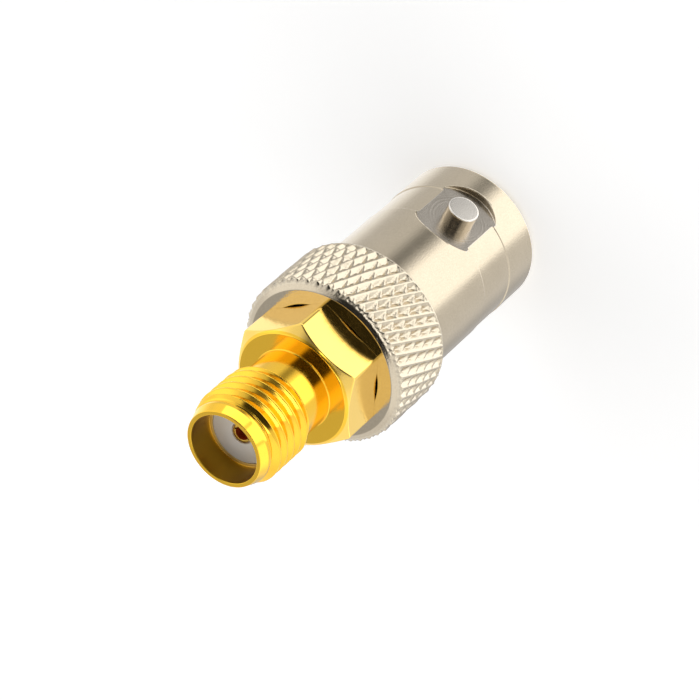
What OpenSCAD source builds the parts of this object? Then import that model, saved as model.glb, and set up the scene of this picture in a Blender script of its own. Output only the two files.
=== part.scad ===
// Coax adapter, threaded jack at the top to bayonet jack at the bottom.
// It stands on the mouth of the bayonet jack: Z is the connector axis, millimetres, +X is a bayonet stud.

/* [Bayonet barrel] */
// outside diameter of the plain barrel
barrel_d = 9.65; // [9.2:0.05:10.4]
// mouth of the bayonet jack to the rear edge of the knurl
barrel_length = 12.5; // [11.5:0.05:16]
// bevel on the outside edge of the mouth
mouth_bevel = 0.4; // [0.1:0.05:0.5]
// bore that takes the mating shell
barrel_bore_d = 8.13; // [7.9:0.01:8.3]
// bore measured at the flared mouth
mouth_flare_d = 8.4; // [8.35:0.05:8.6]
// mouth to the shoulder at the bottom of the bore
bore_depth = 8.9; // [8:0.1:10]
// thickness of the web behind that shoulder
web = 1.1; // [0.6:0.1:2]
// shallow turned band under the studs, measured along the axis
band_width = 3.1; // [2.4:0.1:4.4]
// depth of that band
band_depth = 0.05; // [0.03:0.01:0.2]

/* [Bayonet studs] */
// stud diameter
stud_d = 2.0; // [1.6:0.05:2.4]
// measured over the tips of both studs
stud_span = 11.0; // [10.4:0.05:11.6]
// mouth to the stud centre
stud_reach = 4.75; // [4.6:0.1:5.8]
// edge break on the stud tip
stud_bevel = 0.12; // [0.05:0.01:0.3]
// round spot face that is milled about each stud
pocket_d = 5.4; // [4.6:0.1:6.4]
// measured across the flat floors of both spot faces
pocket_span = 8.74; // [8.6:0.02:9]
// turn of each spot face from its stud, in degrees
pocket_turn = 1.9; // [0:0.1:5]

/* [Knurled ring] */
// measured over the knurl points
knurl_d = 11.44; // [11:0.02:12.4]
// length of the knurled band
knurl_length = 4.84; // [3.5:0.01:7]
// points around the ring
knurl_count = 46; // [30:1:60]
// depth of the grooves
knurl_depth = 0.32; // [0.15:0.01:0.4]
// how far the walls across the main grooves stay below the points
knurl_wall_drop = 0.07; // [0.04:0.01:0.2]
// plain rim behind the knurl
knurl_rim = 0.16; // [0.05:0.01:0.4]
// lean of the ridges and of the walls against the axis, in degrees
knurl_lean = 22.5; // [15:0.5:35]
// turn of the knurl about the axis, in degrees
knurl_turn = -8.5; // [-30:0.5:30]
// polished face under the hex
seat_d = 10.16; // [9.6:0.02:10.6]
// height of that face above the knurl
seat_rise = 0.34; // [0.1:0.01:0.5]
// countersink in that face, a little wider than the hex flats
seat_sink_d = 8.18; // [7.6:0.02:8.8]

/* [Hex] */
// across the flats
hex_flats = 7.94; // [7.6:0.01:8.2]
// turned diameter that trims the hex corners
hex_corner_d = 9.06; // [8.8:0.02:9.3]
// height of the hex
hex_height = 3.19; // [2.5:0.01:5]
// flat circle on top of the hex, inside its bevel
hex_face_d = 7.58; // [7:0.02:7.8]
// lean of that bevel against the top face, in degrees
hex_bevel = 38; // [25:1:45]
// turn of a hex corner from the stud, in degrees
hex_turn = 20.4; // [0:0.1:60]

/* [Threaded jack] */
// hex face to the mouth
jack_length = 7.28; // [6.5:0.02:9]
// over the thread crests
thread_d = 6.24; // [6:0.01:6.4]
// length of the threaded land
thread_length = 3.75; // [3:0.05:4.5]
// bevel at each end of the land
thread_bevel = 0.28; // [0.1:0.01:0.4]
// undercut between the land and the hex
neck_d = 5.34; // [5.1:0.02:5.8]
// fillet where the undercut meets the hex
neck_fillet = 0.1; // [0.04:0.01:0.3]
// plain collar in front of the thread
collar_d = 5.6; // [5.3:0.02:5.9]
// length of that collar
collar_length = 0.85; // [0.5:0.05:1.1]
// groove between collar and thread
groove_d = 5.2; // [5:0.02:5.5]
// outside edge of the mouth
rim_d = 5.14; // [5:0.02:5.3]
// counterbore at the mouth
jack_bore_d = 4.62; // [4.5:0.01:4.8]
// depth of that counterbore
jack_bore_depth = 1.9; // [1.5:0.05:2.2]
// plain spigot below the hex that is pressed into the barrel
spigot_d = 7.0; // [6.4:0.05:7.3]

/* [Insulators] */
// bead seen in the threaded jack
bead_d = 4.15; // [3.9:0.01:4.3]
// wide rear part of that bead
bead_rear_d = 4.6; // [4.4:0.05:4.7]
// hex face to the step between both parts of the bead, downwards
bead_step_drop = 0.6; // [0.2:0.1:2]
// width of the recess about the contact in the face of the bead
bead_recess = 0.08; // [0.04:0.01:0.3]
// depth of that recess
bead_recess_depth = 0.3; // [0.1:0.05:0.6]
// nose of the insulator in the bayonet jack
nose_d = 4.75; // [4.5:0.01:5]
// mouth of the bayonet jack to the tip of the nose
nose_setback = 3.9; // [3.2:0.1:5]
// bevel on the tip of the nose
nose_bevel = 0.25; // [0.1:0.05:0.5]
// flange that the spigot traps on the web
flange_height = 2.0; // [1.4:0.1:3]

/* [Centre contact] */
// socket outside in the threaded jack
top_socket_d = 1.22; // [1.1:0.01:1.27]
// hole of that socket
top_hole_d = 0.9; // [0.8:0.01:0.95]
// depth of that hole
top_hole_depth = 3.0; // [2:0.1:4]
// socket outside in the bayonet jack
low_socket_d = 2.05; // [1.9:0.01:2.3]
// hole of that socket
low_hole_d = 1.36; // [1.25:0.01:1.45]
// depth of that hole
low_hole_depth = 5.0; // [3.5:0.1:6]
// tip of the nose to the tip of that socket
low_socket_setback = 0.3; // [0.1:0.05:0.6]
// collar that both insulators trap
contact_collar_d = 2.9; // [2.6:0.05:3.6]
// height of that collar
contact_collar_height = 0.8; // [0.5:0.05:1.2]
// saw cut of the spring slots
slot_width = 0.12; // [0.1:0.01:0.2]
// share of a hole's depth that the slots reach
slot_share = 0.8; // [0.5:0.05:0.9]

/* [Fits] */
// gap all round between insulators, contact and shells
slip_gap = 0.03; // [0.01:0.01:0.08]
// gap all round drawn between the spigot and its bore
press_gap = 0.01; // [0:0.005:0.03]

/* [Hidden] */
$fn = 96;
eps = 0.02;

// stations along the axis
z_web = bore_depth + web;
z_trap = z_web + flange_height;
z_collar = z_trap - contact_collar_height;
z_knurl = barrel_length + knurl_length;
z_seat = z_knurl + seat_rise;
z_hex = z_seat + hex_height;
z_mouth = z_hex + jack_length;
z_bead = z_mouth - jack_bore_depth;
z_step = z_hex - bead_step_drop;
z_land_top = z_mouth - collar_length - (collar_d - groove_d) / 2;
z_land = z_land_top - thread_length;

// radii that fits share
spigot_bore_r = spigot_d / 2;
nose_hole_r = nose_d / 2 + slip_gap;
floor_x = pocket_span / 2;
knurl_root_r = knurl_d / 2 - knurl_depth;
core_r = knurl_root_r - 0.03;

// the ridges run from the rim to the cone in front, and one turns by this on the way, in degrees
ridge_length = knurl_length - knurl_rim + seat_rise;
knurl_sweep = ridge_length * tan(knurl_lean) / (knurl_d / 2) * 180 / PI;
knurl_slices = ceil(ridge_length / 0.8);
// the walls meet the front a little beside the ridges, in degrees
wall_turn = 0.3 * 180 / knurl_count;

NICKEL = [0.78, 0.76, 0.71];
GOLD = [0.95, 0.76, 0.30];
PTFE = [0.92, 0.91, 0.88];

// a ring of vee ridges that leans by the given turn from bottom to top
module vee_ring(crest_r, sweep)
  rotate(knurl_turn - sweep)
    linear_extrude(height = ridge_length, twist = -sweep, slices = knurl_slices)
      polygon([
        for (i = [0 : 2 * knurl_count - 1])
          let (r = crest_r - knurl_depth * (i % 2), a = i * 180 / knurl_count)
            [r * cos(a), r * sin(a)]
      ]);

// the main ridges, and lower walls that cross the grooves between them
module knurl()
  translate([0, 0, barrel_length + knurl_rim]) {
    vee_ring(knurl_d / 2, knurl_sweep);
    rotate(wall_turn) vee_ring(knurl_d / 2 - knurl_wall_drop, -knurl_sweep);
  }

// barrel and ring as they leave the lathe
module bnc_blank() {
  r = barrel_d / 2;
  band_r = r - band_depth;
  band_low = stud_reach - band_width / 2;
  band_high = stud_reach + band_width / 2;
  rotate_extrude()
    polygon([
      [0, 0],
      [r - mouth_bevel, 0],
      [r, mouth_bevel],
      [r, band_low],
      [band_r, band_low + band_depth],
      [band_r, band_high - band_depth],
      [r, band_high],
      [r, barrel_length],
      [core_r, barrel_length],
      [core_r, z_seat],
      [0, z_seat]
    ]);
}

// what the lathe takes off in front of the knurl: a cone from its points up to the seat
module front_cut() {
  over = 1;
  lean = (knurl_d - seat_d) / 2 / seat_rise;
  rotate_extrude()
    polygon([
      [seat_d / 2 - lean * eps, z_seat + eps],
      [knurl_d / 2 + lean * eps, z_knurl - eps],
      [knurl_d / 2 + over, z_knurl - eps],
      [knurl_d / 2 + over, z_seat + over],
      [seat_d / 2 - lean * eps, z_seat + over]
    ]);
}

// bore, web hole, spigot bore and countersink in one outline
module bnc_bores() {
  r = barrel_bore_d / 2;
  flare = (mouth_flare_d - barrel_bore_d) / 2;
  sink = (seat_sink_d - spigot_d) / 2;
  rotate_extrude()
    polygon([
      [0, -1],
      [r + flare, -1],
      [r + flare, 0],
      [r, 2 * flare],
      [r, bore_depth],
      [nose_hole_r, bore_depth],
      [nose_hole_r, z_web],
      [spigot_bore_r, z_web],
      [spigot_bore_r, z_seat - sink],
      [spigot_bore_r + sink, z_seat],
      [spigot_bore_r + sink, z_seat + 1],
      [0, z_seat + 1]
    ]);
}

// one bayonet stud, along +X from inside the wall to its tip
module stud() {
  r = stud_d / 2;
  tip = stud_span / 2;
  foot = (barrel_bore_d / 2 + floor_x) / 2;
  translate([0, 0, stud_reach])
    rotate([0, 90, 0])
      rotate_extrude()
        polygon([
          [0, foot],
          [r, foot],
          [r, tip - stud_bevel],
          [r - stud_bevel, tip],
          [0, tip]
        ]);
}

// the spot face about a stud, from its floor outwards
module pocket()
  rotate(pocket_turn)
    translate([floor_x, 0, stud_reach])
      rotate([0, 90, 0])
        cylinder(h = stud_span / 2, d = pocket_d);

module bnc_shell()
  color(NICKEL)
    difference() {
      union() {
        difference() {
          bnc_blank();
          for (side = [0, 180])
            rotate(side) pocket();
        }
        knurl();
        for (side = [0, 180])
          rotate(side) stud();
      }
      front_cut();
      bnc_bores();
    }

// spigot, hex stock, undercut, thread land, collar and mouth
module sma_turning() {
  neck_r = neck_d / 2;
  land_r = thread_d / 2;
  groove_r = groove_d / 2;
  collar_r = collar_d / 2;
  corner_r = hex_corner_d / 2;
  bevel_drop = (corner_r - hex_face_d / 2) * tan(hex_bevel);
  fillet_steps = 6;
  rotate_extrude()
    polygon(concat(
      [
        [0, z_trap],
        [spigot_bore_r - press_gap, z_trap],
        [spigot_bore_r - press_gap, z_seat],
        [corner_r, z_seat],
        [corner_r, z_hex - bevel_drop],
        [hex_face_d / 2, z_hex]
      ],
      [
        for (i = [0 : fillet_steps])
          let (a = -90 - 90 * i / fillet_steps)
            [neck_r + neck_fillet * (1 + cos(a)), z_hex + neck_fillet * (1 + sin(a))]
      ],
      [
        [neck_r, z_land - (land_r - neck_r - thread_bevel)],
        [land_r - thread_bevel, z_land],
        [land_r, z_land + thread_bevel],
        [land_r, z_land_top - thread_bevel],
        [land_r - thread_bevel, z_land_top],
        [groove_r, z_land_top],
        [collar_r, z_land_top + collar_r - groove_r],
        [collar_r, z_mouth - collar_r + rim_d / 2],
        [rim_d / 2, z_mouth],
        [0, z_mouth]
      ]
    ));
}

// stock left after the six flats are milled, with the round parts above and below it kept whole
module hex_mill() {
  over = 1;
  rotate(hex_turn)
    translate([0, 0, z_seat])
      cylinder(h = hex_height, d = hex_flats / cos(30), $fn = 6);
  translate([0, 0, z_trap - over])
    cylinder(h = z_seat - z_trap + over, d = hex_flats);
  translate([0, 0, z_hex])
    cylinder(h = jack_length + over, d = hex_flats);
}

// counterbore at the mouth and the stepped bore of the bead
module sma_bores() {
  front_r = bead_d / 2 + slip_gap;
  rear_r = bead_rear_d / 2 + slip_gap;
  rotate_extrude()
    polygon([
      [0, z_trap - 1],
      [rear_r, z_trap - 1],
      [rear_r, z_step],
      [front_r, z_step],
      [front_r, z_bead],
      [jack_bore_d / 2, z_bead],
      [jack_bore_d / 2, z_mouth + 1],
      [0, z_mouth + 1]
    ]);
}

module sma_shell()
  color(GOLD)
    difference() {
      intersection() {
        sma_turning();
        hex_mill();
      }
      sma_bores();
    }

module bnc_insulator() {
  nose_r = nose_d / 2;
  socket_r = low_socket_d / 2 + slip_gap;
  collar_r = contact_collar_d / 2 + slip_gap;
  color(PTFE)
    rotate_extrude()
      polygon([
        [socket_r, nose_setback],
        [nose_r - nose_bevel, nose_setback],
        [nose_r, nose_setback + nose_bevel],
        [nose_r, z_web],
        [spigot_bore_r - slip_gap, z_web],
        [spigot_bore_r - slip_gap, z_trap],
        [collar_r, z_trap],
        [collar_r, z_collar],
        [socket_r, z_collar]
      ]);
}

module sma_insulator() {
  hole_r = top_socket_d / 2 + slip_gap;
  recess_r = hole_r + bead_recess;
  color(PTFE)
    rotate_extrude()
      polygon([
        [hole_r, z_trap],
        [bead_rear_d / 2, z_trap],
        [bead_rear_d / 2, z_step],
        [bead_d / 2, z_step],
        [bead_d / 2, z_bead],
        [recess_r, z_bead],
        [recess_r, z_bead - bead_recess_depth],
        [hole_r, z_bead - bead_recess_depth]
      ]);
}

// one saw cut right across a socket, from its open end at z = 0 upwards
module saw_cut(socket_d, depth)
  translate([-socket_d, -slot_width / 2, -1])
    cube([2 * socket_d, slot_width, depth + 1]);

module centre_contact() {
  low_tip = nose_setback + low_socket_setback;
  lead = (low_socket_d - low_hole_d) / 4;
  color(GOLD)
    difference() {
      union() {
        translate([0, 0, low_tip])
          cylinder(h = z_collar - low_tip, d = low_socket_d);
        translate([0, 0, z_collar])
          cylinder(h = contact_collar_height, d = contact_collar_d);
        translate([0, 0, z_trap])
          cylinder(h = z_bead - z_trap, d = top_socket_d);
      }
      translate([0, 0, low_tip - 1])
        cylinder(h = low_hole_depth + 1, d = low_hole_d);
      translate([0, 0, low_tip])
        cylinder(h = lead, r1 = low_hole_d / 2 + lead, r2 = low_hole_d / 2);
      translate([0, 0, z_bead - top_hole_depth])
        cylinder(h = top_hole_depth + 1, d = top_hole_d);
      for (turn = [0, 90])
        translate([0, 0, low_tip])
          rotate(turn) saw_cut(low_socket_d, slot_share * low_hole_depth);
      translate([0, 0, z_bead])
        rotate([180, 0, 90]) saw_cut(top_socket_d, slot_share * top_hole_depth);
    }
}

bnc_shell();
sma_shell();
bnc_insulator();
sma_insulator();
centre_contact();
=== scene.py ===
# %% [markdown]
# # A coax adapter: turned metal, step by step
# The object is a straight adapter between two kinds of coaxial cable. One end is a small
# gold-plated threaded jack with a hexagon for a spanner, the other a nickel-plated bayonet
# jack with a knurled ring. Almost every surface of it was cut on a lathe, so almost every
# piece here is a set of rings about one axis. The CAD frame gives the true sizes and places,
# and each piece made below stands in for one of its solids, with finer shapes and finishes.

# %% Load the frame
import math

import bmesh
import bpy
from mathutils import Matrix, Vector


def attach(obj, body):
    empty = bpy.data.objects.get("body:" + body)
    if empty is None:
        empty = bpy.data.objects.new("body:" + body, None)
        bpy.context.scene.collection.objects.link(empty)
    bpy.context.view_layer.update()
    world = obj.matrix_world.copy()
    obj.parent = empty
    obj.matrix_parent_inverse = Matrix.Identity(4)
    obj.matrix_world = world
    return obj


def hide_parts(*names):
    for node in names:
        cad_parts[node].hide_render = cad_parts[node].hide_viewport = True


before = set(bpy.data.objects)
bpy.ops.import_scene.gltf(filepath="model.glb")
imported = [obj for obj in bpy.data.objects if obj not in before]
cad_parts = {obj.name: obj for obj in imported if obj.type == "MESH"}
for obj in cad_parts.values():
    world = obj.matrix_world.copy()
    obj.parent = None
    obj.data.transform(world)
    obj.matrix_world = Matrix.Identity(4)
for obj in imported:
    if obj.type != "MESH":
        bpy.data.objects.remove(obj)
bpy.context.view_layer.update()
print("solids in the frame:", sorted(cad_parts))

# %% [markdown]
# ## The sizes
# A turned part is drawn as half of its section: distances from the axis, and stations along
# it. All of them are written in millimetres, as on a workshop drawing, and turned into metres
# once, when a mesh is made. The axis is Z, the part stands on the mouth of its bayonet jack at
# zero, and +X goes through one of the two studs. Names that end in `_r` are radii, and those
# that end in `_z`, `_low` or `_top` are stations.

# %% Sizes of the bayonet jack
MM = 0.001
same_place = 1e-8   # metres: points nearer than this are one point
far_out = 9.0       # a radius beyond every surface

barrel_r = 4.825
barrel_top = 12.5
mouth_bevel = 0.4
barrel_bore_r = 4.065
mouth_flare_r = 4.2
bore_depth = 8.9
web_top = 10.0
web_hole_r = 2.405
band_depth = 0.05
band_half = 1.55

stud_z = 4.75
stud_r = 1.0
stud_tip = 5.5
spot_r = 2.7
spot_floor = 4.37
spot_turn = math.radians(1.9)

knurl_r = 5.72
knurl_depth = 0.32
knurl_wall_drop = 0.07
knurl_rim = 0.16
knurl_count = 46
knurl_lean = math.radians(22.5)
knurl_turn = math.radians(-8.5)
knurl_top = 17.34
seat_z = 17.68
seat_r = 5.08
sink_r = 4.09
spigot_r = 3.5
print("bayonet jack:", 2 * barrel_r, "mm barrel,", 2 * stud_tip, "mm over its studs")

# %% Sizes of the threaded jack, the insulators and the contact
hex_half = 3.97
hex_corner_r = 4.53
hex_face_r = 3.79
hex_bevel = math.radians(38.0)
hex_turn = math.radians(20.4)
hex_top = 20.87

neck_r = 2.67
neck_fillet = 0.1
land_low = 23.35
land_top = 27.1
land_bevel = 0.28
thread_r = 3.12
thread_root_r = 2.69
thread_pitch = 25.4 / 36
collar_r = 2.8
groove_r = 2.6
rim_r = 2.57
mouth_z = 28.15
jack_bore_r = 2.31
bead_z = 26.25
bead_r = 2.075
bead_rear_r = 2.3
bead_step_z = 20.27
trap_z = 12.0
slip_gap = 0.03
press_gap = 0.01
top_hole_r = 0.45
top_hole_depth = 3.0
print("threaded jack: %.2f mm thread, %.3f mm pitch" % (2 * thread_r, thread_pitch))

# %% [markdown]
# ## Rings and outlines
# Blender's Screw modifier can spin an outline, but a knurl, a hexagon and a thread need rings
# whose radius changes on the way round. So a piece is a list of rings with the same number of
# points, and a skin of four-sided faces joins each ring to the next. A real edge is never
# perfectly sharp, and a sharp one catches no light, so `soften` turns each corner of an outline
# into a small curve. It also adds a point beside each curve, which keeps the smooth shading of
# the flat next to it flat.

# %% Helpers for outlines
def soften(corners, closed=True, steps=3, beside=0.03):
    """Corners are (r, z, rounding). Gives back points (r, z) with every corner curved."""
    count = len(corners)
    points = []
    for i, (r, z, rounding) in enumerate(corners):
        corner = Vector((r, z))
        at_end = not closed and i in (0, count - 1)
        if at_end or rounding == 0:
            points.append((r, z))
            continue
        back = Vector(corners[i - 1][:2]) - corner
        ahead = Vector(corners[(i + 1) % count][:2]) - corner
        cut = min(rounding, 0.4 * back.length, 0.4 * ahead.length)
        reach_back = min(cut + beside, 0.48 * back.length)
        reach_ahead = min(cut + beside, 0.48 * ahead.length)
        back.normalize()
        ahead.normalize()
        points.append(tuple(corner + back * reach_back))
        for k in range(steps + 1):
            t = k / steps
            curve = (corner + back * cut) * (1 - t) ** 2
            curve += corner * 2 * t * (1 - t) + (corner + ahead * cut) * t * t
            points.append(tuple(curve))
        points.append(tuple(corner + ahead * reach_ahead))
    return points


def along(outline, z):
    """The radius of an outline whose stations rise, at the station z."""
    for (r0, z0), (r1, z1) in zip(outline, outline[1:]):
        if z0 <= z <= z1 and z1 > z0:
            return r0 + (r1 - r0) * (z - z0) / (z1 - z0)
    return outline[0][0] if z < outline[0][1] else outline[-1][0]


# %% Helpers for rings and meshes
def spread(count, start=0.0):
    """Angles spaced evenly once round the axis."""
    return [start + 2 * math.pi * k / count for k in range(count)]


def ring(r, z, angles):
    """Points of a circle about the axis, at the given angles."""
    return [(r * math.cos(a), r * math.sin(a), z) for a in angles]


def skin(rings, left_out=()):
    """Faces between neighbouring rings, with the last ring joined back to the first."""
    count = len(rings[0])
    faces = []
    for i in range(len(rings)):
        j = (i + 1) % len(rings)
        for k in range(count):
            if (i, k) not in left_out:
                m = (k + 1) % count
                faces.append((i * count + k, i * count + m, j * count + m, j * count + k))
    return faces


def make_piece(name, points, faces, node, material):
    """Makes one object from points in millimetres, and puts it in the place of a solid."""
    mesh = bpy.data.meshes.new(name)
    mesh.from_pydata([(x * MM, y * MM, z * MM) for x, y, z in points], [], faces)
    work = bmesh.new()
    work.from_mesh(mesh)
    bmesh.ops.remove_doubles(work, verts=work.verts, dist=same_place)
    bmesh.ops.recalc_face_normals(work, faces=work.faces)
    work.to_mesh(mesh)
    work.free()
    mesh.shade_smooth()
    mesh.materials.append(material)
    piece = bpy.data.objects.new(name, mesh)
    bpy.context.scene.collection.objects.link(piece)
    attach(piece, "root")
    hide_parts(node)
    print(name, "stands for", node, "with", len(mesh.polygons), "faces")
    return piece


# %% [markdown]
# ## The camera
# The photograph looks down at the part from the side of its threaded end, from about twenty
# centimetres, with the picture turned so that the part seems to lie on its side. A long lens
# at that distance keeps the two ends nearly in proportion.

# %% Camera
view_azimuth = math.radians(-13.286)
view_elevation = math.radians(43.841)
view_roll = math.radians(-131.711)
view_distance = 213.68
view_aim = Vector((-0.132, -0.56, 15.078))

view_back = Vector((
    math.cos(view_elevation) * math.cos(view_azimuth),
    math.cos(view_elevation) * math.sin(view_azimuth),
    math.sin(view_elevation),
))
level_right = Vector((0, 0, 1)).cross(view_back).normalized()
level_up = view_back.cross(level_right)
view_up = level_up * math.cos(view_roll) - level_right * math.sin(view_roll)
view_right = level_right * math.cos(view_roll) + level_up * math.sin(view_roll)

camera_data = bpy.data.cameras.new("camera")
camera_data.sensor_width = 36
camera_data.lens = 179.32
camera_data.clip_start = 0.01
camera = bpy.data.objects.new("camera", camera_data)
turned = Matrix((view_right, view_up, view_back)).transposed().to_4x4()
camera.matrix_world = Matrix.Translation((view_aim + view_back * view_distance) * MM) @ turned
bpy.context.scene.collection.objects.link(camera)
bpy.context.scene.camera = camera
print("camera at", [round(v, 4) for v in camera.location])

# %% [markdown]
# ## Marks that several finishes share
# Two things show on all the turned pieces. A cutting tool leaves fine lines round the axis,
# and plating or plastic has a fine uneven grain. Each effect is one node group with a size in
# millimetres, and every finish uses it with values of its own. Painting an image would tie
# the marks to one mesh, while these follow the object's own coordinates on any shape.

# %% Helpers for nodes
def add(tree, kind, **settings):
    """A new node with its settings."""
    node = tree.nodes.new(kind)
    for name, value in settings.items():
        setattr(node, name, value)
    return node


def put(tree, node, **inputs):
    """Sets or links inputs by name, with spaces written as underscores."""
    for name, value in inputs.items():
        socket = node.inputs[name.replace("_", " ")]
        if isinstance(value, bpy.types.NodeSocket):
            tree.links.new(value, socket)
        else:
            socket.default_value = value
    return node


def calc(tree, operation, *values):
    """A Math node: numbers are set, sockets are linked."""
    node = add(tree, "ShaderNodeMath", operation=operation)
    for socket, value in zip(node.inputs, values):
        if isinstance(value, bpy.types.NodeSocket):
            tree.links.new(value, socket)
        else:
            socket.default_value = value
    return node.outputs[0]


def new_group(name, inputs, outputs):
    """A node group with number sockets. Gives back its tree and its two end nodes."""
    tree = bpy.data.node_groups.new(name, "ShaderNodeTree")
    for label, default in inputs:
        socket = tree.interface.new_socket(label, in_out="INPUT", socket_type="NodeSocketFloat")
        socket.default_value = default
    for label in outputs:
        tree.interface.new_socket(label, in_out="OUTPUT", socket_type="NodeSocketFloat")
    return tree, add(tree, "NodeGroupInput"), add(tree, "NodeGroupOutput")


def use_group(tree, group, **inputs):
    """A node that runs a group, with its inputs set or linked."""
    node = add(tree, "ShaderNodeGroup", node_tree=group)
    return put(tree, node, **inputs)


def object_xyz(tree):
    """The three coordinates of the shaded point, in the object's own frame."""
    place = add(tree, "ShaderNodeTexCoord")
    apart = add(tree, "ShaderNodeSeparateXYZ")
    tree.links.new(place.outputs["Object"], apart.inputs[0])
    return apart.outputs["X"], apart.outputs["Y"], apart.outputs["Z"]


def length_of(tree, a, b):
    """The length of a line from its two legs."""
    return calc(tree, "SQRT", calc(tree, "ADD", calc(tree, "POWER", a, 2.0),
                                   calc(tree, "POWER", b, 2.0)))


# %% Tool lines
tool_lines, lines_in, lines_out = new_group("tool_lines", [("Spacing", 0.1)], ["Lines"])
face_share = 0.7    # lets the lines run on across faces that are square to the axis
at_x, at_y, at_z = object_xyz(tool_lines)
station = calc(tool_lines, "ADD", at_z,
               calc(tool_lines, "MULTIPLY", length_of(tool_lines, at_x, at_y), face_share))
count_of_lines = calc(tool_lines, "DIVIDE",
                      calc(tool_lines, "MULTIPLY", station, 1 / MM),
                      lines_in.outputs["Spacing"])
streaks = add(tool_lines, "ShaderNodeTexNoise", noise_dimensions="1D")
put(tool_lines, streaks, W=count_of_lines, Scale=1.0, Detail=2.0, Roughness=0.6)
tool_lines.links.new(streaks.outputs[0], lines_out.inputs["Lines"])
print("group tool_lines:", len(tool_lines.nodes), "nodes")

# %% Grain
grain, grain_in, grain_out = new_group(
    "grain", [("Size", 0.08), ("Patch size", 2.0)], ["Grain", "Patches"])
place = add(grain, "ShaderNodeTexCoord")
for label, out_label, detail in (("Size", "Grain", 2.0), ("Patch size", "Patches", 3.0)):
    per_metre = calc(grain, "DIVIDE", 1 / MM, grain_in.outputs[label])
    speckle = add(grain, "ShaderNodeTexNoise")
    put(grain, speckle, Vector=place.outputs["Object"], Scale=per_metre, Detail=detail)
    grain.links.new(speckle.outputs[0], grain_out.inputs[out_label])
print("group grain:", len(grain.nodes), "nodes")


# %% [markdown]
# ## The finishes
# Plated metal has no colour of its own beyond the tint of what it mirrors, so a finish is its
# tint, how blurred the mirror is, and what breaks the mirror up. Nickel here is a soft warm
# satin. The gold is bright and quite yellow. The insulators are a fluoropolymer, which is
# waxy white and never quite shiny.

# %% Helper for a finish
patch_to_grain = 30
grain_share = 0.6


def finish(name, light, dark, rough, rough_span, metallic, spacing, line_depth,
           grain_size, grain_depth):
    """A Principled finish with two tints, an uneven gloss, tool lines and grain."""
    material = bpy.data.materials.new(name)
    material.use_nodes = True
    tree = material.node_tree
    shader = tree.nodes["Principled BSDF"]
    shader.inputs["Metallic"].default_value = metallic
    lines = use_group(tree, tool_lines, Spacing=spacing).outputs["Lines"]
    marks = use_group(tree, grain, Size=grain_size, Patch_size=patch_to_grain * grain_size)

    tint = add(tree, "ShaderNodeMix", data_type="RGBA")
    uneven = calc(tree, "ADD",
                  calc(tree, "MULTIPLY", marks.outputs["Grain"], grain_share),
                  calc(tree, "MULTIPLY", marks.outputs["Patches"], 1 - grain_share))
    tree.links.new(uneven, tint.inputs[0])
    tint.inputs[6].default_value = (*dark, 1)
    tint.inputs[7].default_value = (*light, 1)
    tree.links.new(tint.outputs[2], shader.inputs["Base Color"])

    gloss = calc(tree, "MULTIPLY_ADD", marks.outputs["Patches"], rough_span, rough)
    tree.links.new(gloss, shader.inputs["Roughness"])

    height = calc(tree, "ADD",
                  calc(tree, "MULTIPLY", lines, line_depth),
                  calc(tree, "MULTIPLY", marks.outputs["Grain"], grain_depth))
    bump = add(tree, "ShaderNodeBump")
    put(tree, bump, Strength=1.0, Distance=MM, Height=height)
    tree.links.new(bump.outputs["Normal"], shader.inputs["Normal"])
    print("finish", name)
    return material


# %% The four finishes
satin_nickel = finish("satin_nickel", (0.64, 0.56, 0.43), (0.43, 0.365, 0.27), 0.13, 0.14,
                      1.0, 0.12, 0.0018, 0.09, 0.005)
bright_gold = finish("bright_gold", (1.0, 0.63, 0.07), (0.93, 0.53, 0.04), 0.07, 0.12, 1.0,
                     0.1, 0.0012, 0.06, 0.0005)
contact_gold = finish("contact_gold", (1.0, 0.67, 0.15), (0.85, 0.5, 0.08), 0.12, 0.12, 1.0,
                      0.05, 0.001, 0.05, 0.0005)
waxy_white = finish("waxy_white", (0.95, 0.92, 0.86), (0.88, 0.84, 0.77), 0.38, 0.16, 0.0,
                    0.12, 0.0015, 0.1, 0.0012)

# %% [markdown]
# ## Where a finish changes, and where light and shade are painted
# One plating does not look the same all over. The gold is dull inside the threaded mouth, the
# seat under the hexagon is polished, and the cutter that milled the spot faces has left a swirl
# of its own. Light and shade are painted in as well: a dark shade on the wall of the threaded
# mouth and a red-brown shade in the contact's hole, and paler or lighter tints as highlight on
# the ledge round the insulator, the hexagon, the knurl, the tips of the studs and the milled
# floors. A second material on some faces would have to follow the faces' edges. Here a mask
# comes from the distance to the axis and the station, so a finish changes where the drawing
# says, whatever the mesh is.

# %% A zone of a turned piece, as a mask
zone, zone_in, zone_out = new_group(
    "zone", [("Outside", 0.0), ("Within", 1.0), ("Above", 0.0)], ["Mask"])
at_x, at_y, at_z = object_xyz(zone)
off_axis = length_of(zone, at_x, at_y)
inner, outer, lower_end = (calc(zone, "MULTIPLY", zone_in.outputs[label], MM)
                           for label in ("Outside", "Within", "Above"))
in_ring = calc(zone, "MULTIPLY", calc(zone, "LESS_THAN", off_axis, outer),
               calc(zone, "GREATER_THAN", off_axis, inner))
high_up = calc(zone, "GREATER_THAN", at_z, lower_end)
zone.links.new(calc(zone, "MULTIPLY", in_ring, high_up), zone_out.inputs["Mask"])
print("group zone:", len(zone.nodes), "nodes")


def treat(material, mask, rougher, shade=None):
    """Changes the gloss, and the tint where a shade is given, of a finish under a mask."""
    tree = material.node_tree
    shader = tree.nodes["Principled BSDF"]
    rough = shader.inputs["Roughness"]
    tree.links.new(calc(tree, "MULTIPLY_ADD", mask, rougher, rough.links[0].from_socket), rough)
    if shade:
        tint = add(tree, "ShaderNodeMix", data_type="RGBA")
        tree.links.new(mask, tint.inputs[0])
        tree.links.new(shader.inputs["Base Color"].links[0].from_socket, tint.inputs[6])
        tint.inputs[7].default_value = (*shade, 1)
        tree.links.new(tint.outputs[2], shader.inputs["Base Color"])


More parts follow.
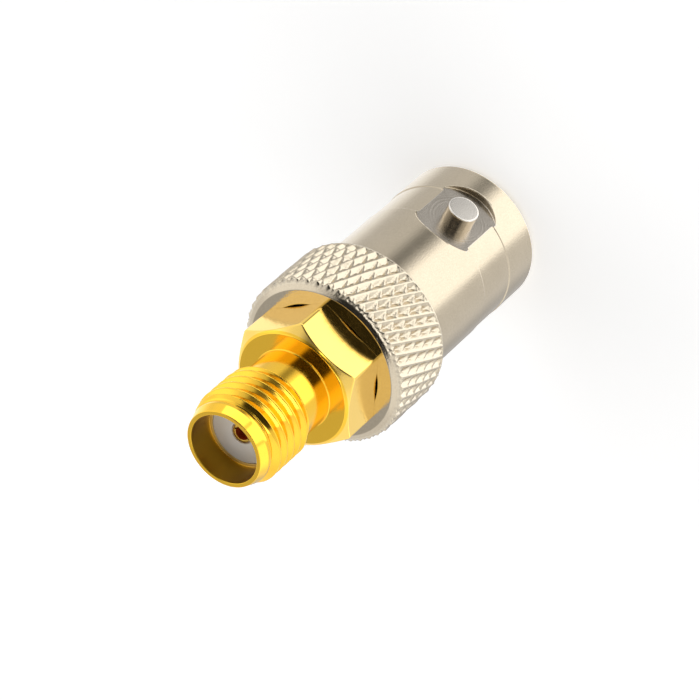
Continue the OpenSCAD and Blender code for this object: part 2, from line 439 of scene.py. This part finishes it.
def treat_zone(material, outside, within, above, rougher, shade=None):
    """Does the same in a ring about the axis, from one station upwards."""
    ring_of = use_group(material.node_tree, zone, Outside=outside, Within=within, Above=above)
    treat(material, ring_of.outputs["Mask"], rougher, shade)


# %% The zones
# gold: painted highlight as a paler tint on the ledge round the insulator and on the hexagon;
# the wall of the threaded mouth is duller, with a painted dark shade
treat_zone(bright_gold, 0.0, jack_bore_r - 0.02, bead_z - 0.06, 0.3, (1.0, 0.8, 0.35))
treat_zone(bright_gold, 0.0, jack_bore_r + 0.02, bead_z + 0.03, 0.22, (0.42, 0.24, 0.02))
treat_zone(bright_gold, hex_half - 0.02, far_out, seat_z, 0.02, (1.0, 0.68, 0.16))
# nickel: the seat is only made glossier; the tips of the studs and the knurl get lighter tints
# painted in as highlight
treat_zone(satin_nickel, 0.0, seat_r + 0.3, knurl_top, -0.12)
treat_zone(satin_nickel, stud_tip - 0.03, far_out, 0.0, 0.06, (0.7, 0.66, 0.6))
treat_zone(satin_nickel, knurl_r - knurl_depth, far_out, barrel_top, -0.04, (0.57, 0.5, 0.385))
# the contact: its hole is duller, with a painted red-brown shade
treat_zone(contact_gold, 0.0, top_hole_r + 0.01, bead_z - top_hole_depth - 0.1, 0.45,
           (0.75, 0.22, 0.07))
print("zones set on three finishes")

# %% Marks of the cutter round a stud
spot, spot_in, spot_out = new_group(
    "spot", [("Foot", stud_r), ("Reach", spot_r), ("Spacing", 0.1)], ["Mask", "Marks"])
at_x, at_y, at_z = object_xyz(spot)
from_stud_z = calc(spot, "SUBTRACT", at_z, stud_z * MM)
off_stud = calc(spot, "DIVIDE", length_of(spot, at_y, from_stud_z), MM)
on_floor = calc(spot, "MULTIPLY", calc(spot, "GREATER_THAN", off_stud, spot_in.outputs["Foot"]),
                calc(spot, "LESS_THAN", off_stud, spot_in.outputs["Reach"]))
toward_floor = calc(spot, "ADD",
                    calc(spot, "MULTIPLY", at_x, math.cos(spot_turn)),
                    calc(spot, "MULTIPLY", at_y, math.sin(spot_turn)))
floor_slack = 0.01
level_with = calc(spot, "COMPARE", calc(spot, "ABSOLUTE", toward_floor), spot_floor * MM,
                  floor_slack * MM)
spot.links.new(calc(spot, "MULTIPLY", on_floor, level_with), spot_out.inputs["Mask"])
swirl = add(spot, "ShaderNodeTexNoise", noise_dimensions="1D")
put(spot, swirl, W=calc(spot, "DIVIDE", off_stud, spot_in.outputs["Spacing"]), Scale=1.0)
spot.links.new(swirl.outputs[0], spot_out.inputs["Marks"])
print("group spot:", len(spot.nodes), "nodes")

# %% The milled floors
mark_depth = 0.004
nickel = satin_nickel.node_tree
milled = use_group(nickel, spot, Foot=stud_r + 0.01, Reach=spot_r - 0.02, Spacing=0.12)
# the lighter tint on the milled floors is painted highlight; the cutter marks added below are
# bumps
treat(satin_nickel, milled.outputs["Mask"], 0.04, (0.56, 0.51, 0.44))
bump = nickel.nodes["Principled BSDF"].inputs["Normal"].links[0].from_node
cutter_marks = calc(nickel, "MULTIPLY",
                    calc(nickel, "MULTIPLY", milled.outputs["Marks"], mark_depth),
                    milled.outputs["Mask"])
put(nickel, bump, Height=calc(nickel, "ADD", bump.inputs["Height"].links[0].from_socket,
                              cutter_marks))
print("cutter marks", mark_depth, "mm deep on the spot faces")

# %% [markdown]
# ## The nickel shell: barrel, band and knurl
# The bayonet jack is one turned tube: a barrel with a shallow band under the studs, a knurled
# ring to grip, and a polished seat with a countersink that takes the gold half. The knurl has
# two sets of ridges of opposite lean. The main ridges run on unbroken, and lower walls of the
# other set cross the grooves between them, so each point takes the higher of the two. Rings
# whose points lean with the main set follow its crests exactly, which a plain grid would fray.

# %% Outlines of the barrel and of the inside
shell_columns = knurl_count * 10
barrel = soften([
    (mouth_flare_r + 0.1, 0.0, 0.0),
    (barrel_r - mouth_bevel, 0.0, 0.05),
    (barrel_r, mouth_bevel, 0.06),
    (barrel_r, stud_z - band_half, 0.03),
    (barrel_r - band_depth, stud_z - band_half + band_depth, 0.03),
    (barrel_r - band_depth, stud_z + band_half - band_depth, 0.03),
    (barrel_r, stud_z + band_half, 0.03),
    (barrel_r, barrel_top, 0.0),
], closed=False)
core_r = knurl_r - knurl_depth - 0.03
cone_slope = (seat_z - knurl_top) / (knurl_r - seat_r)
inside = soften([
    (core_r - 0.06, knurl_top + (knurl_r - core_r + 0.06) * cone_slope, 0.0),
    (seat_r, seat_z, 0.05),
    (sink_r, seat_z, 0.04),
    (spigot_r, seat_z - (sink_r - spigot_r), 0.0),
    (spigot_r, web_top, 0.0),
    (web_hole_r, web_top, 0.0),
    (web_hole_r, bore_depth, 0.03),
    (barrel_bore_r, bore_depth, 0.05),
    (barrel_bore_r, 2 * (mouth_flare_r - barrel_bore_r), 0.06),
    (mouth_flare_r, 0.0, 0.03),
    (mouth_flare_r + 0.05, 0.0, 0.0),
], closed=False)

# the window for a spot face needs rings close together
hole_half = 3.15
station_step = 0.3
least_apart = 0.08
hole_low, hole_high = stud_z - hole_half, stud_z + hole_half
stations = [hole_low + station_step * k for k in range(22)]
barrel += [(along(barrel, z), z) for z in stations
           if min(abs(z - p[1]) for p in barrel) > least_apart
           or z in (stations[0], stations[-1])]
barrel += [(barrel_r, 8.4), (barrel_r, 10.4), (barrel_r, barrel_top - 0.05)]
barrel.sort(key=lambda p: (round(p[1], 6), p[0]))
print("barrel outline:", len(barrel), "rings")


# %% The knurl
knurl_step = 2 * math.pi / knurl_count
lean_per_mm = math.tan(knurl_lean) / knurl_r
wall_turn = 0.3 * knurl_step / 2
unevenness = 0.012
crest_flat = 0.02


def fold(x):
    """Distance from the nearest whole number, doubled: 0 on a crest, 1 in a groove."""
    return 2 * abs(x - round(x))


def knurl_radius(angle, z):
    """The higher of a main ridge and a crossing wall, with blunt and slightly uneven tops."""
    rise = (z - seat_z) * lean_per_mm
    ridge = (angle - knurl_turn - rise) / knurl_step
    cross = (angle - knurl_turn - wall_turn + rise) / knurl_step
    wobble = unevenness * math.sin(5.1 * round(ridge)) + unevenness * math.sin(3.7 * round(cross))
    main = knurl_r - knurl_depth * fold(ridge)
    wall = knurl_r - knurl_wall_drop - knurl_depth * fold(cross)
    return min(max(main, wall), knurl_r - crest_flat) - abs(wobble)


def shell_angles(z):
    """Columns that lean with the main ridges inside the knurl, and run straight outside it."""
    inside_z = min(max(z, barrel_top), seat_z)
    return spread(shell_columns, knurl_turn + (inside_z - seat_z) * lean_per_mm)


print("knurl:", knurl_count, "ridges each way, %.3f mm apart" % (knurl_step * knurl_r))

# %% Rings of the barrel and the knurl
rim_z = barrel_top + knurl_rim
rim_out_r = knurl_r - 0.12
knurl_rows = 88
edge_break = 0.04
column_start = spread(shell_columns, knurl_turn)


def knurl_point(column, row):
    """A point of the knurl, between its rear rim and the cone that cuts its front."""
    front_z = knurl_top
    for guess in range(4):
        angle = column_start[column] + (front_z - seat_z) * lean_per_mm
        front_z = knurl_top + (knurl_r - knurl_radius(angle, front_z)) * cone_slope
    z = rim_z + (front_z - rim_z) * row / knurl_rows
    angle = column_start[column] + (z - seat_z) * lean_per_mm
    from_end = min(z - rim_z, front_z - z)
    r = knurl_radius(angle, z) - max(edge_break - from_end, 0)
    return r * math.cos(angle), r * math.sin(angle), z


shell_rings = [ring(r, z, shell_angles(z)) for r, z in barrel]
shell_rings += [ring(r, z, shell_angles(z)) for r, z in
                ((barrel_r + 0.05, barrel_top), (rim_out_r - 0.06, barrel_top),
                 (rim_out_r - 0.015, barrel_top + 0.015), (rim_out_r, barrel_top + 0.06),
                 (rim_out_r, rim_z - 0.02))]
shell_rings += [[knurl_point(column, row) for column in range(shell_columns)]
                for row in range(knurl_rows + 1)]
front_ring = []     # on the cone, close behind the front edge of the ridges
for x, y, z in shell_rings[-1]:
    r = math.hypot(x, y)
    on_cone = max(r - 0.03, core_r - 0.05)
    front_ring.append((x * on_cone / r, y * on_cone / r,
                       knurl_top + (knurl_r - on_cone) * cone_slope))
shell_rings.append(front_ring)
shell_rings += [ring(r, z, shell_angles(z)) for r, z in inside]
print("nickel shell:", len(shell_rings), "rings of", shell_columns)

# %% [markdown]
# ## The studs in their spot faces
# Each of the two bayonet studs stands on a small flat that a round cutter has milled into the
# barrel, a little off the stud's own direction. The cutter is wider than the flat: at the
# sides the flat runs out of the round barrel, and only towards the ends does the cutter leave
# a low curved wall. A boolean would cut this, but leaves ragged faces along the curve. Here
# a window is left out of the skin and filled with loops that shrink from its frame to the
# flat's edge and on to the tip of the stud.

# %% Where a loop point lies
corner_y = math.sqrt(barrel_r ** 2 - spot_floor ** 2)
corner_z = math.sqrt(spot_r ** 2 - corner_y ** 2)
level_part = band_half + 0.05
stud_off = -spot_floor * math.tan(spot_turn)
foot_share = 1.006
wall_to_softness = 0.15


def surface_x(y, z):
    """Height of the plain barrel over the middle plane, at a place beside the stud."""
    return math.sqrt(max(along(barrel, stud_z + z) ** 2 - y * y, 0.0))


def flat_edge(y_frame, z_frame, half_y, on_side):
    """The point of the flat's edge that belongs to a point of the window's frame."""
    if not on_side:
        y = y_frame / half_y * corner_y
        return y, math.copysign(math.sqrt(spot_r ** 2 - y * y), z_frame)
    z = abs(z_frame)
    if z > level_part:
        z = level_part + (z - level_part) / (hole_half - level_part) * (corner_z - level_part)
    y = math.sqrt(along(barrel, stud_z + math.copysign(z, z_frame)) ** 2 - spot_floor ** 2)
    return math.copysign(y, y_frame), math.copysign(z, z_frame)


def on_stud(share, height, turn):
    """A point of the stud, at a share of its radius and a height along its own axis."""
    y = stud_r * share * math.cos(turn)
    return (height * math.cos(spot_turn) + y * math.sin(spot_turn),
            y * math.cos(spot_turn) - height * math.sin(spot_turn),
            stud_r * share * math.sin(turn))


def stud_column(y_frame, z_frame, half_y, on_side):
    """Points (x, y, z) from just inside the window's frame down to the rim of the stud's tip."""
    y_edge, z_edge = flat_edge(y_frame, z_frame, half_y, on_side)
    reach_edge = math.hypot(y_edge, z_edge)
    out_y, out_z = y_edge / reach_edge, z_edge / reach_edge
    column = []
    for share in (0.8, 0.6, 0.42, 0.26, 0.12):
        y = y_edge + (y_frame - y_edge) * share
        z = z_edge + (z_frame - z_edge) * share
        column.append((surface_x(y, z), y, z))
    wall = max(surface_x(y_edge, z_edge) - spot_floor, 0.0)
    softness = min(1.0, 0.15 + wall / wall_to_softness)
    for reach in (0.09, 0.05):
        y, z = y_edge + reach * softness * out_y, z_edge + reach * softness * out_z
        column.append((surface_x(y, z), y, z))
    for up in (max(wall - 0.03, 0.75 * wall), max(wall - 0.06, 0.6 * wall),
               min(0.06, 0.4 * wall), min(0.03, 0.2 * wall)):
        column.append((spot_floor + up, y_edge, z_edge))
    column.append((spot_floor, y_edge - 0.03 * out_y, z_edge - 0.03 * out_z))
    y_floor, z_floor = y_edge - 0.06 * out_y, z_edge - 0.06 * out_z
    turn = math.atan2(z_floor, y_floor - stud_off)
    y_foot = stud_off + foot_share * stud_r * math.cos(turn)
    z_foot = foot_share * stud_r * math.sin(turn)
    for share in (1.0, 0.66, 0.33, 0.05):
        column.append((spot_floor, y_foot + (y_floor - y_foot) * share,
                       z_foot + (z_floor - z_foot) * share))
    column.append((spot_floor, y_foot, z_foot))
    foot_height = spot_floor / math.cos(spot_turn)
    lean = math.tan(spot_turn) * stud_r * math.cos(turn)
    column += [on_stud(share, foot_height - lean + up, turn)
               for share, up in ((1.0, 0.0), (1.0, 0.006), (1.0, 0.1))]
    column += [on_stud(share, stud_tip - down, turn)
               for share, down in ((1.0, 0.14), (1.0, 0.09), (0.99, 0.04), (0.955, 0.016),
                                   (0.91, 0.011), (0.87, 0.01), (0.4, 0.003))]
    return column


# %% Cut the two windows and fill them
slack = 1e-6
rows_in_hole = [i for i, (r, z) in enumerate(barrel)
                if hole_low - slack <= z <= hole_high + slack]
row_low, row_high = rows_in_hole[0], rows_in_hole[-1]
straight = shell_angles(0.0)
shell_points = [p for one_ring in shell_rings for p in one_ring]
window_faces = set()
patch_faces = []

for side in (spot_turn, math.pi + spot_turn):
    def from_stud(column):
        """The angle of a column, counted from the middle of this spot face."""
        return (straight[column % shell_columns] - side + math.pi) % (2 * math.pi) - math.pi

    reach = math.asin(hole_half / barrel_r)
    inside_columns = [k for k in range(shell_columns) if abs(from_stud(k)) <= reach]
    first = next(k for k in inside_columns if (k - 1) % shell_columns not in inside_columns)
    last = first + len(inside_columns) - 1
    window_faces |= {(i, k % shell_columns)
                     for i in range(row_low, row_high) for k in range(first, last)}

    loop = [(row_low, k) for k in range(first, last)]
    loop += [(i, last) for i in range(row_low, row_high)]
    loop += [(row_high, k) for k in range(last, first, -1)]
    loop += [(i, first) for i in range(row_high, row_low, -1)]
    half_y = max(abs(barrel_r * math.sin(from_stud(k))) for k in (first, last))
    columns = []
    for i, k in loop:
        r, z = barrel[i]
        on_side = k in (first, last)
        at_y = r * math.sin(from_stud(k))
        columns.append(stud_column(at_y, z - stud_z, half_y, on_side))

    ids = [[i * shell_columns + k % shell_columns for i, k in loop]]
    for level in range(len(columns[0])):
        ids.append(list(range(len(shell_points), len(shell_points) + len(loop))))
        for column in columns:
            x, y, z = column[level]
            shell_points.append((x * math.cos(side) - y * math.sin(side),
                                 x * math.sin(side) + y * math.cos(side), z + stud_z))
    middle = len(shell_points)
    stud_turn = side - spot_turn
    shell_points.append((stud_tip * math.cos(stud_turn), stud_tip * math.sin(stud_turn),
                         stud_z))
    for outer, inner in zip(ids, ids[1:]):
        for k in range(len(loop)):
            m = (k + 1) % len(loop)
            patch_faces.append((outer[k], outer[m], inner[m], inner[k]))
    patch_faces += [(ids[-1][k], ids[-1][(k + 1) % len(loop)], middle) for k in range(len(loop))]
print("studs and spot faces:", len(patch_faces), "faces")

# %% Make the nickel shell
make_piece("nickel_shell", shell_points, skin(shell_rings, window_faces) + patch_faces,
           "bnc_shell", satin_nickel)

# %% [markdown]
# ## The gold shell: hexagon, neck and thread
# The threaded jack is turned from hexagon bar. The bevel that the lathe cuts on the corners
# of the bar makes the curved edges on its six flats. Then come a plain neck, a right-hand
# thread of 36 turns to the inch, a narrow groove and a collar at the mouth. The thread is real
# geometry: the radius of a point depends on how far it lies from the nearest turn of a helix.

# %% Columns of the hexagon and the thread's section
land_half = math.acos(hex_half / hex_corner_r)
per_flat = 60
from_flat = [-math.pi / 6] + [land_half * (2 * k / per_flat - 1) for k in range(per_flat + 1)]
jack_angles = [hex_turn + math.pi / 6 + math.pi / 3 * flat + a
               for flat in range(6) for a in from_flat]
flat_cos = [math.cos(a) for flat in range(6) for a in from_flat]
hex_r = [min(hex_half / c, hex_corner_r) for c in flat_cos]
hex_break = [hex_top - (r - hex_face_r) * math.tan(hex_bevel) for r in hex_r]

first_crest_z = 26.87
first_crest_angle = math.radians(-13.5)
crest_half = thread_pitch / 16
flank_angle = math.radians(34)
flank = 1 / math.tan(flank_angle)
land_outline = [
    (neck_r, land_low - (thread_r - neck_r - land_bevel)),
    (thread_r - land_bevel, land_low),
    (thread_r, land_low + land_bevel),
    (thread_r, land_top - land_bevel),
    (thread_r - land_bevel, land_top),
]


def thread_radius(angle, z):
    """The section of the thread, kept inside the land that it is cut into."""
    turns = (z - first_crest_z) / thread_pitch - (angle - first_crest_angle) / (2 * math.pi)
    off_crest = abs(turns - round(turns)) * thread_pitch
    section = thread_r - max(off_crest - crest_half, 0.0) * flank
    return min(max(section, thread_root_r), along(land_outline, z))


print("hexagon and thread:", len(jack_angles), "columns")

# %% Rings of the gold shell
def hex_ring(inset, rise_from, rise):
    """A ring on the flats, set in from them, above or below a station or the bevel's edge."""
    return [((r - inset) * math.cos(a), (r - inset) * math.sin(a),
             (rise_from if rise_from is not None else b) + rise)
            for r, a, b in zip(hex_r, jack_angles, hex_break)]


def bevel_ring(share):
    """A ring on the cone of the bevel, from the flats at 0 to the face at 1."""
    rings = []
    for r, a, b in zip(hex_r, jack_angles, hex_break):
        at_r = r + (hex_face_r - r) * share
        rings.append((at_r * math.cos(a), at_r * math.sin(a), b + (hex_top - b) * share))
    return rings


tail = soften([
    (bead_rear_r + slip_gap, trap_z, 0.03),
    (spigot_r - press_gap, trap_z, 0.06),
    (spigot_r - press_gap, seat_z, 0.0),
], closed=False)
jack_rings = [ring(r, z, jack_angles) for r, z in tail]
jack_rings += [hex_ring(0.04, seat_z, 0.0), hex_ring(0.015, seat_z, 0.0),
               hex_ring(0.004, seat_z, 0.004), hex_ring(0.0, seat_z, 0.012),
               hex_ring(0.0, seat_z, 0.018)]
jack_rings += [hex_ring(0.0, None, -0.06), hex_ring(0.0, None, -0.025)]
jack_rings += [bevel_ring(0.06), bevel_ring(0.2), bevel_ring(0.5), bevel_ring(0.85)]

neck = soften([
    (hex_face_r - 0.01, hex_top, 0.0),
    (neck_r, hex_top, neck_fillet),
    (neck_r, land_outline[0][1] - 0.04, 0.0),
], closed=False, steps=5)
jack_rings += [ring(hex_face_r + 0.02, hex_top - 0.01, jack_angles)]
jack_rings += [ring(r, z, jack_angles) for r, z in
               [(hex_face_r - 0.02, hex_top), (hex_face_r - 0.06, hex_top)] + neck[1:]]

thread_step = 0.028
thread_low = land_outline[0][1]
thread_rows = round((land_top - thread_low) / thread_step)
for row in range(thread_rows + 1):
    z = thread_low + (land_top - thread_low) * row / thread_rows
    jack_rings.append([(thread_radius(a, z) * math.cos(a), thread_radius(a, z) * math.sin(a), z)
                       for a in jack_angles])

collar_slope = 0.62
mouth = soften([
    (groove_r, land_top + 0.005, 0.0),
    (groove_r + 0.02, land_top + 0.02, 0.0),
    (collar_r, land_top + collar_r - groove_r, 0.04),
    (collar_r, mouth_z - collar_slope, 0.05),
    (rim_r + 0.02, mouth_z, 0.03),
    (jack_bore_r, mouth_z, 0.05),
    (jack_bore_r, bead_z, 0.03),
    (bead_r + slip_gap, bead_z, 0.03),
    (bead_r + slip_gap, bead_step_z, 0.0),
    (bead_rear_r + slip_gap, bead_step_z, 0.0),
    (bead_rear_r + slip_gap, trap_z + 0.05, 0.0),
], closed=False)
jack_rings += [ring(r, z, jack_angles) for r, z in mouth]
print("gold shell:", len(jack_rings), "rings of", len(jack_angles))

# %% Make the gold shell
make_piece("gold_shell", [p for one in jack_rings for p in one], skin(jack_rings),
           "sma_shell", bright_gold)

# %% [markdown]
# ## The insulators
# Two turned pieces of white fluoropolymer hold the contact on the axis. The upper one is the
# flat disc seen at the bottom of the threaded jack, with a small recess round the contact. The
# lower one is a nose that stands up inside the bayonet jack, where a plug slides over it.

# %% Make the insulators
top_socket_r = 0.61
top_ring_r = 0.63
recess_r = top_socket_r + slip_gap + 0.08
recess_depth = 0.3
low_socket_r = 1.025
nose_r = 2.375
nose_low = 3.9
nose_bevel = 0.25
collar_half = 1.45
collar_low = 11.2
insulator_columns = 160

upper = soften([
    (top_socket_r + slip_gap, trap_z, 0.03),
    (bead_rear_r, trap_z, 0.06),
    (bead_rear_r, bead_step_z, 0.03),
    (bead_r, bead_step_z, 0.03),
    (bead_r, bead_z, 0.06),
    (recess_r, bead_z, 0.05),
    (recess_r, bead_z - recess_depth, 0.04),
    (top_socket_r + slip_gap, bead_z - recess_depth, 0.04),
])
lower = soften([
    (low_socket_r + slip_gap, nose_low, 0.05),
    (nose_r - nose_bevel, nose_low, 0.06),
    (nose_r, nose_low + nose_bevel, 0.06),
    (nose_r, web_top, 0.03),
    (spigot_r - slip_gap, web_top, 0.05),
    (spigot_r - slip_gap, trap_z, 0.05),
    (collar_half + slip_gap, trap_z, 0.03),
    (collar_half + slip_gap, collar_low, 0.03),
    (low_socket_r + slip_gap, collar_low, 0.03),
])
for name, outline, node in (("upper_insulator", upper, "sma_insulator"),
                            ("lower_insulator", lower, "bnc_insulator")):
    rings = [ring(r, z, spread(insulator_columns)) for r, z in outline]
    make_piece(name, [p for one in rings for p in one], skin(rings), node, waxy_white)

# %% [markdown]
# ## The centre contact
# One gold-plated rod runs through both insulators and ends in a spring socket each way. A
# socket is a drilled hole with saw cuts across it, so that its fingers can grip a pin. The
# turned rod is made from its outline, and the cuts are taken out of it with boolean boxes:
# on so small and regular a mesh they stay clean.

# %% The turned rod
low_hole_r = 0.68
low_hole_depth = 5.0
low_tip = 4.2
slot_width = 0.12
slot_share = 0.8
axis_r = 0.02

lead = (low_socket_r - low_hole_r) / 2
rod = soften([
    (axis_r, bead_z - top_hole_depth, 0.0),
    (top_hole_r, bead_z - top_hole_depth, 0.03),
    (top_hole_r, bead_z, 0.03),
    (top_ring_r, bead_z, 0.03),
    (top_ring_r, trap_z, 0.02),
    (collar_half, trap_z, 0.05),
    (collar_half, collar_low, 0.05),
    (low_socket_r, collar_low, 0.02),
    (low_socket_r, low_tip, 0.08),
    (low_hole_r + lead, low_tip, 0.02),
    (low_hole_r, low_tip + lead, 0.05),
    (low_hole_r, low_tip + low_hole_depth, 0.03),
    (axis_r, low_tip + low_hole_depth, 0.0),
], closed=False)
rod_columns = 96
rod_angles = spread(rod_columns, math.pi / rod_columns)
rod_points = [p for r, z in rod for p in ring(r, z, rod_angles)]
rod_faces = [f for f in skin([ring(r, z, rod_angles) for r, z in rod])
             if max(f) - min(f) < 2 * rod_columns]
rod_faces.append(tuple(range(rod_columns)))
rod_faces.append(tuple(range(len(rod_points) - rod_columns, len(rod_points))))
contact = make_piece("contact", rod_points, rod_faces, "centre_contact",
                     contact_gold)


# %% The saw cuts
def saw_cut(turn, z_from, z_to):
    """Takes a thin box right across the rod out of it, between two stations."""
    box = bpy.data.meshes.new("cut")
    work = bmesh.new()
    bmesh.ops.create_cube(work, size=1.0)
    size = Matrix.Diagonal((4 * MM, slot_width * MM, (z_to - z_from) * MM, 1))
    place = Matrix.Translation((0, 0, (z_from + z_to) / 2 * MM))
    bmesh.ops.transform(work, matrix=place @ Matrix.Rotation(turn, 4, "Z") @ size,
                        verts=work.verts)
    work.to_mesh(box)
    work.free()
    cutter = bpy.data.objects.new("cut", box)
    bpy.context.scene.collection.objects.link(cutter)
    cut = contact.modifiers.new("cut", "BOOLEAN")
    cut.operation = "DIFFERENCE"
    cut.solver = "EXACT"
    cut.object = cutter
    bpy.context.view_layer.update()
    result = bpy.data.meshes.new_from_object(
        contact.evaluated_get(bpy.context.evaluated_depsgraph_get()))
    contact.modifiers.clear()
    contact.data = result
    bpy.data.objects.remove(cutter)


saw_cut(math.pi / 2, bead_z - slot_share * top_hole_depth, bead_z + 1)
saw_cut(0.0, low_tip - 1, low_tip + slot_share * low_hole_depth)
saw_cut(math.pi / 2, low_tip - 1, low_tip + slot_share * low_hole_depth)
sharp_from = math.radians(50)
contact.data.set_sharp_from_angle(angle=sharp_from)
print("contact after its cuts:", len(contact.data.polygons), "faces")

# %% [markdown]
# ## Floor, light and background
# The photograph is a studio shot on white. Bright metal shows the room more than itself, so
# the room is what has to be right: a pale dome, brighter and dimmer panels round the sides, a
# few narrow bright strips, and a dark side where the camera stands, which turns the faces that
# mirror it nearly black. Lamps would light the part but not show in it. So the panels are
# painted into the world with one small node group, and light the part softly from all round.

# %% Floor
floor_half = 1.5
paper_tone = 0.95
paper_glow = 0.34
floor_mesh = bpy.data.meshes.new("floor")
floor_work = bmesh.new()
bmesh.ops.create_grid(floor_work, x_segments=1, y_segments=1, size=floor_half)
floor_work.to_mesh(floor_mesh)
floor_work.free()
floor = bpy.data.objects.new("floor", floor_mesh)
bpy.context.scene.collection.objects.link(floor)
floor.visible_glossy = False

paper = bpy.data.materials.new("white_paper")
paper.use_nodes = True
paper_shader = paper.node_tree.nodes["Principled BSDF"]
paper_shader.inputs["Base Color"].default_value = (paper_tone, paper_tone, paper_tone, 1)
paper_shader.inputs["Roughness"].default_value = 0.9
paper_shader.inputs["Specular IOR Level"].default_value = 0.0
sight = add(paper.node_tree, "ShaderNodeLightPath")
glow = calc(paper.node_tree, "MULTIPLY", sight.outputs["Is Camera Ray"], paper_glow)
paper.node_tree.links.new(glow, paper_shader.inputs["Emission Strength"])
paper_shader.inputs["Emission Color"].default_value = (1, 1, 1, 1)
floor_mesh.materials.append(paper)
print("floor laid")

# %% A panel of light, as a mask over directions
panel, panel_in, panel_out = new_group(
    "panel", [("Half width", 0.5), ("Half height", 0.5), ("Edge", 0.1)], ["Mask"])
for label in ("Middle", "Across", "Upward"):
    panel.interface.new_socket(label, in_out="INPUT", socket_type="NodeSocketVector")
sky = add(panel, "ShaderNodeTexCoord")


def seen_along(label):
    """How far the direction looked in goes along one of the panel's own directions."""
    node = add(panel, "ShaderNodeVectorMath", operation="DOT_PRODUCT")
    panel.links.new(sky.outputs["Generated"], node.inputs[0])
    panel.links.new(panel_in.outputs[label], node.inputs[1])
    return node.outputs["Value"]


ahead = calc(panel, "MAXIMUM", seen_along("Middle"), 0.0001)
mask = calc(panel, "GREATER_THAN", seen_along("Middle"), 0.0)
for label, half in (("Across", "Half width"), ("Upward", "Half height")):
    offset = calc(panel, "ABSOLUTE", calc(panel, "DIVIDE", seen_along(label), ahead))
    inside_by = calc(panel, "SUBTRACT", panel_in.outputs[half], offset)
    soft = calc(panel, "DIVIDE", inside_by, panel_in.outputs["Edge"])
    clamped = add(panel, "ShaderNodeClamp")
    put(panel, clamped, Value=calc(panel, "ADD", soft, 0.5))
    mask = calc(panel, "MULTIPLY", mask, clamped.outputs[0])
panel.links.new(mask, panel_out.inputs["Mask"])
print("group panel:", len(panel.nodes), "nodes")

# %% The studio
world = bpy.data.worlds.new("studio")
bpy.context.scene.world = world
world.use_nodes = True
studio = world.node_tree
background = studio.nodes["Background"]


def toward(azimuth, elevation):
    """The direction at an azimuth and an elevation, in degrees."""
    a, e = math.radians(azimuth), math.radians(elevation)
    return Vector((math.cos(e) * math.cos(a), math.cos(e) * math.sin(a), math.sin(e)))


def hang_panel(level, azimuth, elevation, half_width, half_height, edge, strength):
    """Changes the level of the light inside one panel: to strength from whatever was there."""
    middle = toward(azimuth, elevation)
    across = Vector((0, 0, 1)).cross(middle).normalized()
    upward = middle.cross(across)
    node = use_group(studio, panel, Half_width=half_width, Half_height=half_height, Edge=edge)
    node.inputs["Middle"].default_value = middle
    node.inputs["Across"].default_value = across
    node.inputs["Upward"].default_value = upward
    mix = add(studio, "ShaderNodeMix")
    put(studio, mix, Factor=node.outputs["Mask"])
    if isinstance(level, bpy.types.NodeSocket):
        studio.links.new(level, mix.inputs[2])
    else:
        mix.inputs[2].default_value = level
    mix.inputs[3].default_value = strength
    return mix.outputs[0]


# each panel: azimuth, elevation, half width, half height, soft edge, strength
dome_level = 1.05
panels = [
    # overhead, far behind the part, and under it
    (0, 89, 1.2, 1.2, 0.8, 0.85),
    (167, 44, 0.45, 0.4, 0.4, 0.62),
    (0, -89, 0.6, 0.6, 0.3, 2.2),
    # at the sides
    (-100, -8, 0.8, 0.2, 0.15, 1.7),
    (105, 40, 0.35, 0.35, 0.25, 1.4),
    (-122, 48, 0.35, 0.35, 0.25, 1.3),
    # low all round, for the barrel and the knurl
    (132, -40, 0.65, 0.7, 0.8, 1.3),
    (-120, -44, 0.9, 0.28, 0.25, 0.97),
    (-168, -44, 0.4, 0.3, 0.3, 0.6),
    (58, -44, 0.35, 0.3, 0.3, 0.88),
    (90, -40, 0.2, 0.4, 0.3, 0.82),
    (25, -44, 0.15, 0.3, 0.18, 0.34),
    (25, -13, 0.6, 0.16, 0.12, 2.3),
    (-33.5, -42, 0.45, 0.9, 0.12, 2.1),
    # the dark side, with one bright strip in it
    (-10, 84, 0.44, 0.44, 0.12, 0.03),
    (-5, 58, 0.55, 0.25, 0.25, 0.22),
    (-35, 67, 0.35, 0.07, 0.06, 3.0),
    (-5, 40, 0.6, 0.3, 0.12, 0.03),
    (17, 20, 0.5, 0.3, 0.15, 0.03),
]
level = dome_level
for one_panel in panels:
    level = hang_panel(level, *one_panel)
studio.links.new(level, background.inputs["Strength"])
background.inputs["Color"].default_value = (1, 1, 1, 1)
print("studio:", len(panels), "panels")

# %% Picture settings
bpy.context.scene.view_settings.view_transform = "Standard"
print("view transform:", bpy.context.scene.view_settings.view_transform)
